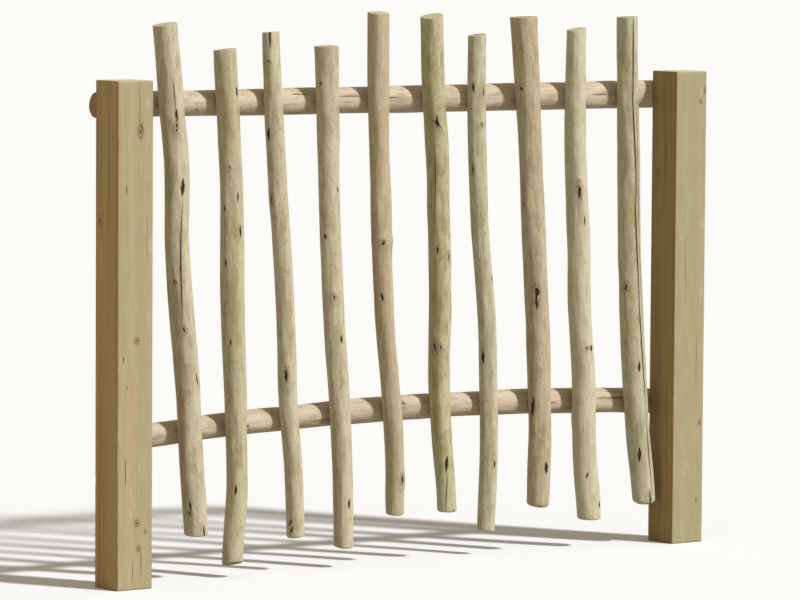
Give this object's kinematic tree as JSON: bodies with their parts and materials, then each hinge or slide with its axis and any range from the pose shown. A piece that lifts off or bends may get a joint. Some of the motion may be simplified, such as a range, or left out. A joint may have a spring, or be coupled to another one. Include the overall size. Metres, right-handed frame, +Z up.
{
  "type": "wooden railing",
  "caption": "Rustic wooden railing bay: crooked peeled round pickets on two round rails, carried by square posts.",
  "frame": {"origin": "middle of the left post's foot, at ground level", "axes": "+X along the rails from the left post to the right one, +Y to the back where the rails lie, +Z up"},
  "size_m": [1.62, 0.1532, 1.2428],
  "materials": {
    "post_wood": "planed softwood, pale olive brown, matt",
    "rail_wood": "peeled and turned round wood, matt",
    "picket_wood": "peeled natural round wood with knots and splits, matt"
  },
  "bodies": {
    "root": {"left_post": "post_wood", "right_post": "post_wood", "upper_rail": "rail_wood", "lower_rail": "rail_wood", "picket_01": "picket_wood", "picket_02": "picket_wood", "picket_03": "picket_wood", "picket_04": "picket_wood", "picket_05": "picket_wood", "picket_06": "picket_wood", "picket_07": "picket_wood", "picket_08": "picket_wood", "picket_09": "picket_wood", "picket_10": "picket_wood"}
  },
  "joints": []
}
